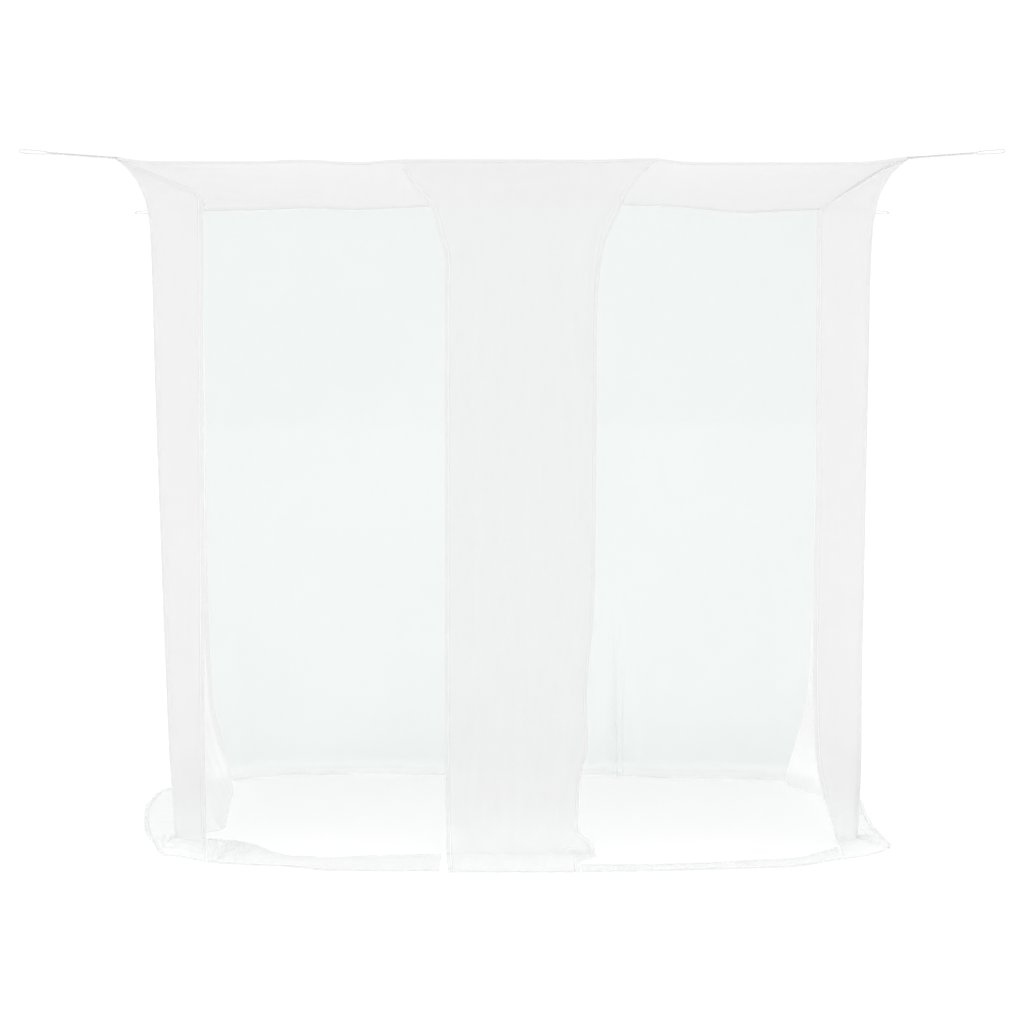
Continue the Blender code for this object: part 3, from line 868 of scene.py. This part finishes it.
def edge_hem_paths(wall, at_start):
    """A cloth's loose side edge, from the binding to the hem on the floor, and a line inside it."""
    edge = wall.first if at_start else wall.last
    inside = edge + (EDGE_HEM_LINE if at_start else -EDGE_HEM_LINE)
    rows = [t for t in HANG_ROWS if EDGE_HEM_ROWS[0] < t < EDGE_HEM_ROWS[1]]
    outer = [wall.point(edge, t) for t in rows]
    inner = [wall.point(inside, t) for t in rows]
    reach = EDGE_HEM_THICK / 2 + HEM_STANDOFF
    for t, p, q in zip(rows, outer, inner):
        on_floor = ease((t - 1.85) / 0.15)
        step = wall.normal(edge) * reach * (1 - on_floor) + UP * reach * on_floor
        p += step
        q += step
    return outer, inner


def sewn_hem(name, sewing, paths, thick, pucker, seed, material, thread):
    """A folded hem along a path, and the row of stitches near its inner edge."""
    outer, inner = paths
    sides = sides_of(outer, inner)
    hem = band(name, outer, sides, HEM_WIDTH, thick, material, pucker, seed)
    normals = [t.cross(s).normalized() for t, s in zip(tangents_of(outer), sides)]
    rows = []
    for sign in (-1, 1):
        line = [p + s * HEM_WIDTH * 0.80 + n * (sign * thick * 0.45)
                for p, s, n in zip(outer, sides, normals)]
        rows.append((line, [n * sign for n in normals]))
    return [hem, stitches(sewing, rows, thread)]


def build_wall(name, wall, columns, width, material):
    runs = spread(wall.first, wall.last, columns, fold_columns(wall.folds))
    middle = [wall.point((wall.first + wall.last) / 2, t) for t in HANG_ROWS]
    metres = [0.0]
    for a, b in zip(middle, middle[1:]):
        metres.append(metres[-1] + (b - a).length)
    foot = metres[HANG_ROWS.index(2.0)]
    metres = [m * CUT_FOOT / foot for m in metres]
    return cloth_grid(name, runs, HANG_ROWS, wall.point, width, metres, material)


# Bands across the bays

ROLL_PLACE = 0.06         # the v where the rolled inner edge is highest
ROLL_WIDTH = 0.05
ROLL_ROWS = [0.01, 0.02, 0.03, 0.045, 0.06, 0.075, 0.09, 0.11]


class Threshold:
    """A band that lies across a bay. v is 0 at its inner edge and 1 at its hem.

    Its outer end slants. heap is (x, half width, height) of the rumpled heap there, and roll is
    the height of the rolled inner edge.
    """

    def __init__(self, table, ends, heap, roll, seed):
        self.table, self.ends, self.heap, self.roll, self.seed = table, ends, heap, roll, seed
        low, high, end = table[0][0], table[-1][0], ends[0][0]
        self.first, self.last = (low, end) if end > 0 else (end, high)
        self.slant_x = high if end > 0 else low
        self.slant_step = abs(end) - abs(self.slant_x)

    def past(self, x):
        """How far x is into the slanting end, from 0 to 1."""
        return max((abs(x) - abs(self.slant_x)) / self.slant_step, 0.0)

    def edges(self, x):
        """Inner and outer plan points at x."""
        past = self.past(x)
        if past <= 0:
            return [(x, d) for d in smooth_rows(self.table, x)]
        depths = smooth_rows(self.table, self.slant_x)
        return [(mix(self.slant_x, end_x, past), mix(d, end_d, past))
                for d, (end_x, end_d) in zip(depths, self.ends)]

    def point(self, x, v):
        (ix, i_d), (ox, o_d) = self.edges(x)
        px, pd = mix(ix, ox, v), mix(i_d, o_d, v)
        heap_x, heap_width, heap_height = self.heap
        near_heap = bell((abs(x) - heap_x) / heap_width)
        fade = 1 - ease(self.past(x))
        across = math.sin(math.pi * min(max(v, 0.0), 1.0))
        swirl = waver(x * 14.0, v * 3.0, self.seed)
        phase = x * 95.0 + 9.0 * v + 3.0 * swirl
        px += heap_height * 0.55 * math.sin(phase) * near_heap * across * fade
        creases = crest(x * 210.0 - 7.0 * v + 5.0 * swirl)
        rumple = heap_height * near_heap * (0.75 * crest(phase) + 0.25 * creases) * across * fade
        ripple = (0.003 * max(math.sin(x * 40.0), 0.0) + 0.002 * (0.5 + swirl)) * across
        rolled = bell((v - ROLL_PLACE) / ROLL_WIDTH) * (1 - near_heap) * fade
        roll = self.roll * rolled * (0.75 + 0.5 * swirl)
        return Vector((*plan(px, pd), FLOOR_REST + rumple + ripple + max(roll, 0.0)))


# Roof

ROOF_COLUMNS = 150
ROOF_ROWS = 120
ROOF_CORNERS = ((0, 0), (1, 0), (0, 1), (1, 1))


def roof_point(u, v):
    """A point of the roof. u runs from left to right and v from the back to the front."""
    inset = TAPE_THICK / 2 + SEAM_GAP
    x_scale = 1 - inset / BACK_HALF
    d = inset + (DEPTH - 2 * inset) * (1 - v)
    left, right = side_edge(-1, d), side_edge(1, d)
    front = front_edge((2 * u - 1) * FRONT_HALF)
    back = back_edge((2 * u - 1) * BACK_HALF)
    front_d, back_d = front[1] + inset, back[1] - inset
    x = mix(left[0], right[0], u) * x_scale
    share = 1 - v
    depth = mix(front_d, back_d, share)
    rim = left[2] * (1 - u) + right[2] * u
    wave = (front[2] - HEIGHT) * (1 - share) + (back[2] - HEIGHT) * share
    belly = ROOF_SAG * 16 * u * (1 - u) * share * (1 - share)
    calm = ease(min(u, 1 - u) / 0.06) * ease(min(share, 1 - share) / 0.06)
    sway = 0.004 * waver(u * 3.1, share * 2.3, 21.0)
    creases = 0.0
    for cu, cv in ROOF_CORNERS:
        du, dv = abs(u - cu) * 2 * FRONT_HALF, abs(share - cv) * DEPTH
        reach = math.hypot(du, dv)
        angle = math.atan2(dv, du)
        creases += 0.0025 * bell(reach / 0.35) * math.sin(angle * 15.0 + cu + 2.0 * cv)
    return Vector((*plan(x, depth), rim + wave - belly + calm * (sway + creases)))


def build_roof(material):
    runs = [i / ROOF_COLUMNS for i in range(ROOF_COLUMNS + 1)]
    rows = [i / ROOF_ROWS for i in range(ROOF_ROWS + 1)]
    metres = [ROOF_FLAT[1] * v for v in rows]
    return cloth_grid("roof_net", runs, rows, roof_point, ROOF_FLAT[0], metres, material)


# Tapes

def sewn_tape(name, path, inwards, width, thick, pucker, rows, node_name, material, thread):
    """A tape along a path, with its rows of stitches."""
    tape = band(name, path, inwards, width, thick, material, pucker, len(name))
    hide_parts(node_name)
    sewing = stitches(name + "_stitches", rows, thread)


def binding(name, edge, first, last, count, node_name, material, thread):
    """The tape folded over one top seam, with a row of stitches on each face."""
    path = []
    for i in range(count + 1):
        x, d, z = edge(first + (last - first) * i / count)
        wobble = 0.0004 * waver(i * 0.9, 0.0, len(name))
        path.append(Vector((*plan(x, d), z + TAPE_HEIGHT / 2 + wobble)))
    rows = []
    tangents = tangents_of(path)
    for share in (0.2, 0.8):
        for sign in (-1, 1):
            normals = [t.cross(DOWN).normalized() * sign for t in tangents]
            line = [p + DOWN * (share * TAPE_HEIGHT) + n * TAPE_THICK * 0.43
                    for p, n in zip(path, normals)]
            rows.append((line, normals))
    sewn_tape(name, path, [DOWN] * len(path), TAPE_HEIGHT, TAPE_THICK, 0.22, rows, node_name,
              material, thread)


LOOP_WIDTH = 0.0065
LOOP_THICK = 0.0034
# Side view of a loop: (distance from the tip, half the gap between its two strands)
LOOP_SECTION = [(0.000, 0.0008), (0.004, 0.0022), (0.010, 0.0029), (0.060, 0.0028), (0.100, 0.0002)]
LOOP_SEWN = (0.030, 0.0002)      # how far from the corner it is sewn flat, and half the gap there
LOOP_STEPS = 60
TIP_STEPS = 8
TIP_REACH = 0.0008
LOOP_STITCHES = (0.004, 0.010, 0.016, 0.022, 0.028)


def hanging_loop(name, corner, tip, node_name, material, thread):
    """A narrow tape folded double, from its corner to its tip and back, with an eye for a hook."""
    run_x, run_d = tip[0] - corner[0], tip[1] - corner[1]
    length = math.hypot(run_x, run_d)
    along = Vector((run_x / length, run_d / length, 0.0))
    across = Vector((-along.y, along.x, 0.0))
    half = LOOP_THICK / 2
    upper = [(length - half - back, gap + half) for back, gap in LOOP_SECTION]
    upper += [(LOOP_SEWN[0], LOOP_SEWN[1] + half), (SEAM_GAP, LOOP_SEWN[1] + half)]
    upper.reverse()
    start = Vector((*plan(*corner), HEIGHT))
    fine = []
    for i in range(LOOP_STEPS + 1):
        s = SEAM_GAP + (upper[-1][0] - SEAM_GAP) * (1 - (1 - i / LOOP_STEPS) ** 1.6)
        fine.append((s, max(smooth_rows(upper, s)[0], LOOP_SEWN[1] + half)))
    profile = [(s, -z) for s, z in fine]
    tip_s, tip_z = fine[-1]
    for k in range(1, TIP_STEPS):
        angle = -math.pi / 2 + math.pi * k / TIP_STEPS
        profile.append((tip_s + TIP_REACH * math.cos(angle), tip_z * math.sin(angle)))
    profile += reversed(fine)
    path = []
    for s, z in profile:
        drift = 0.0010 * waver(s * 9.0, 0.0, len(name))
        path.append(start + along * s + UP * z + across * (drift - LOOP_WIDTH / 2))
    rows = []
    rise = LOOP_SEWN[1] + LOOP_THICK * 0.95
    for share in (0.18, 0.5, 0.82):
        middle = [start + along * s + across * (share - 0.5) * LOOP_WIDTH for s in LOOP_STITCHES]
        for face in (UP, DOWN):
            rows.append(([p + face * rise for p in middle], [face] * len(middle)))
    sewn_tape(name, path, [across] * len(path), LOOP_WIDTH, LOOP_THICK, 0.2, rows, node_name,
              material, thread)


def build_walls(net, rear_net_painted_shade, hem, edge_hem, thread):
    """The hanging sheets, with their hems and stitches."""
    left = side_wall(-1, LEFT_WALL, LEFT_FOLDS, 1.0)
    right = side_wall(1, RIGHT_WALL, RIGHT_FOLDS, 4.0)
    back = back_wall()
    panel = centre_panel()
    # word, wall, columns, flat size, material, node, what holds it, which side edges are hemmed
    walls = [
        ("left", left, 210, (2.03, 2.18), net, "left_wall", "left_tape", (True, False)),
        ("right", right, 210, (2.06, 2.13), net, "right_wall", "right_tape", (True, False)),
        ("back", back, 220, (2.18, 2.15), rear_net_painted_shade, "back_wall", "back_tape", (False, False)),
        ("panel", panel, 90, (0.73, 2.21), net, "centre_panel", "front_tape", (True, True)),
    ]
    for word, wall, columns, flat, material, node_name, holder, hemmed in walls:
        cloth = build_wall(word + "_net", wall, columns, flat[0], material)
        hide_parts(node_name)
        made = sewn_hem(word + "_hem", word + "_hem_stitches", floor_hem_paths(wall),
                        FLOOR_HEM_THICK, 0.35, wall.seed, hem, thread)
        for end, at_start, has in zip(("first", "second"), (True, False), hemmed):
            if has:
                name = f"{word}_{end}_edge"
                made += sewn_hem(name, name + "_stitches", edge_hem_paths(wall, at_start),
                                 EDGE_HEM_THICK, 0.25, wall.seed + 2, edge_hem, thread)


def build_bands(lying_net_painted_light, hem, thread):
    """The two bands on the floor, with their hems and stitches."""
    left = Threshold(LEFT_THRESHOLD, LEFT_THRESHOLD_ENDS, (0.80, 0.10, 0.030), 0.007, 14.0)
    right = Threshold(RIGHT_THRESHOLD, RIGHT_THRESHOLD_ENDS, (0.90, 0.05, 0.012), 0.003, 15.0)
    # word, band, columns, rows, flat size, node, thickness of its inner hem
    bands = [
        ("left", left, 170, 26, (0.70, 0.25), "left_threshold", ROLLED_HEM_THICK),
        ("right", right, 150, 16, (0.75, 0.13), "right_threshold", EDGE_HEM_THICK),
    ]
    for word, cloth_band, columns, rows, flat, node_name, inner_thick in bands:
        runs = spread(cloth_band.first, cloth_band.last, columns)
        vs = sorted(set([i / rows for i in range(rows + 1)] + ROLL_ROWS))
        cloth = cloth_grid(word + "_band", runs, vs, cloth_band.point, flat[0],
                           [flat[1] * v for v in vs], lying_net_painted_light)
        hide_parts(node_name)
        made = []
        runs = spread(cloth_band.first + 0.001, cloth_band.last - 0.001, 120)
        for edge, v, v_in, thick in (("inner", 0.0, 0.08, inner_thick),
                                     ("outer", 1.0, 0.9, BAND_HEM_THICK)):
            outer = [cloth_band.point(x, v) for x in runs]
            inner = [cloth_band.point(x, v_in) for x in runs]
            for p, q in zip(outer, inner):
                p.z += thick / 2
                q.z = p.z
            name = f"{word}_band_{edge}"
            made += sewn_hem(name + "_hem", name + "_stitches", (outer, inner), thick, 0.3,
                             cloth_band.seed, hem, thread)


def build_tapes(tape, rear_tape_painted_light, thread):
    """The four bindings and the four loops."""
    end = TAPE_THICK / 2 + SEAM_GAP
    for word, edge, first, last, count, material in (
            ("front", front_edge, -FRONT_HALF, FRONT_HALF, 260, tape),
            ("back", back_edge, -BACK_HALF, BACK_HALF, 260, rear_tape_painted_light),
            ("left", partial(side_edge, -1), end, DEPTH - end, 220, tape),
            ("right", partial(side_edge, 1), end, DEPTH - end, 220, tape)):
        binding(word + "_tape", edge, first, last, count, word + "_binding", material, thread)
    for side, word in ((-1, "left"), (1, "right")):
        for row, half, d, tip_d in (("front", FRONT_HALF, 0.0, -LOOP_REACH_D),
                                    ("rear", BACK_HALF, DEPTH, DEPTH + LOOP_REACH_D)):
            hanging_loop(f"{row}_{word}_strap", (side * half, d), (side * LOOP_REACH_X, tip_d),
                         f"{row}_{word}_loop", tape, thread)


def build_part():
    # The hanging net's lighter tone on and just above the floor is painted light from above.
    net = net_material("sheer_net", 0.57, 0.95, (0.836, 0.832, 0.832), 0.48,
                       painted_light_tone=(0.912, 0.920, 0.918), spread_cover=0.68, rise=0.24)
    # The back wall's net is a darker copy of the same net: painted shade. Its lighter tone on the
    # floor is painted light from above.
    rear_net_painted_shade = net_material("rear_net_painted_shade", 0.60, 0.95, (0.770, 0.808, 0.799), 0.48,
                            painted_light_tone=(0.920, 0.930, 0.928), spread_cover=0.63, rise=0.075)
    # The roof's net is a darker copy of the same net, letting less light through its yarn: painted
    # shade on its underside.
    roof_cloth_painted_shade = net_material("roof_net_painted_shade", 0.68, 0.95, (0.803, 0.801, 0.801), 0.28)
    # The bands on the floor take a lighter tone than the hanging net: painted light from above.
    lying_net_painted_light = net_material("lying_net_painted_light", 0.42, 0.72, (0.900, 0.906, 0.905), 0.48)
    # The floor hem's middle is lighter than the net: painted light from above. Its darker fold and
    # seam tone is painted shade.
    hem = hem_material("floor_hem_net", 0.18, 0.40, (0.945, 0.950, 0.950), (0.860, 0.866, 0.866),
                       0.45)
    edge_hem = hem_material("edge_hem_net", 0.04, 0.10, (0.900, 0.902, 0.902),
                            (0.890, 0.892, 0.892), 0.48)
    tape = tape_material("woven_tape", (0.76, 0.76, 0.76), TAPE_RIB)
    # A lighter copy of the woven tape for the back binding: painted light where the roof shades it.
    rear_tape_painted_light = tape_material("rear_woven_tape_painted_light", (0.86, 0.86, 0.86), TAPE_RIB)
    thread = tape_material("sewing_thread", (0.90, 0.90, 0.90), THREAD_PLY)

    roof = build_roof(roof_cloth_painted_shade)
    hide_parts("roof_panel")
    build_walls(net, rear_net_painted_shade, hem, edge_hem, thread)
    build_bands(lying_net_painted_light, hem, thread)
    build_tapes(tape, rear_tape_painted_light, thread)


# Stage, light and camera

FLOOR_HALF = 300.0
FLOOR_TONE = 0.98
FLOOR_DROP = 0.0005       # keeps the floor clear of the cloth that lies on it
SKY_HIGH = 1.23           # brightness of the soft light overhead and at the horizon
SKY_LOW = 1.12


def build_stage():
    shape = bmesh.new()
    bmesh.ops.create_grid(shape, x_segments=1, y_segments=1, size=FLOOR_HALF)
    material, _, _ = new_material("floor_white", "floor", [FLOOR_TONE] * 3, 1.0, specular=0.0)
    floor = linked_object("floor", shape, material)
    floor.location.z = -FLOOR_DROP


def build_light():
    """Even white studio light, a little stronger from above."""
    world = bpy.data.worlds.new("studio")
    bpy.context.scene.world = world
    world.use_nodes = True
    tree = world.node_tree
    background = tree.nodes["Background"]
    background.inputs["Color"].default_value = (1, 1, 1, 1)
    place = node(tree, "ShaderNodeTexCoord", {}).outputs["Generated"]
    parts = node(tree, "ShaderNodeSeparateXYZ", {0: place})
    strength = ranged(tree, parts.outputs[2], 0.0, 1.0, SKY_LOW, SKY_HIGH)
    tree.links.new(strength, background.inputs["Strength"])


FOCAL_PIXELS = 2750.0
PICTURE_PIXELS = 1024.0
SENSOR = 36.0
CAMERA_PLACE = (0.0, -8.61, 1.2525)
CAMERA_TILT = 2.0618      # degrees below level
CLIP_END = 500.0          # past the floor's corners


def build_camera():
    data = bpy.data.cameras.new("camera")
    data.sensor_width = SENSOR
    data.lens = FOCAL_PIXELS * SENSOR / PICTURE_PIXELS
    data.clip_end = CLIP_END
    camera = bpy.data.objects.new("camera", data)
    bpy.context.scene.collection.objects.link(camera)
    camera.location = CAMERA_PLACE
    camera.rotation_euler = (math.radians(90 - CAMERA_TILT), 0, 0)
    bpy.context.scene.camera = camera


scene = bpy.context.scene
scene.view_settings.view_transform = "Standard"
scene.cycles.transparent_max_bounces = 48
scene.cycles.max_bounces = 20
scene.cycles.diffuse_bounces = 12
build_camera()
build_light()
build_stage()
build_part()
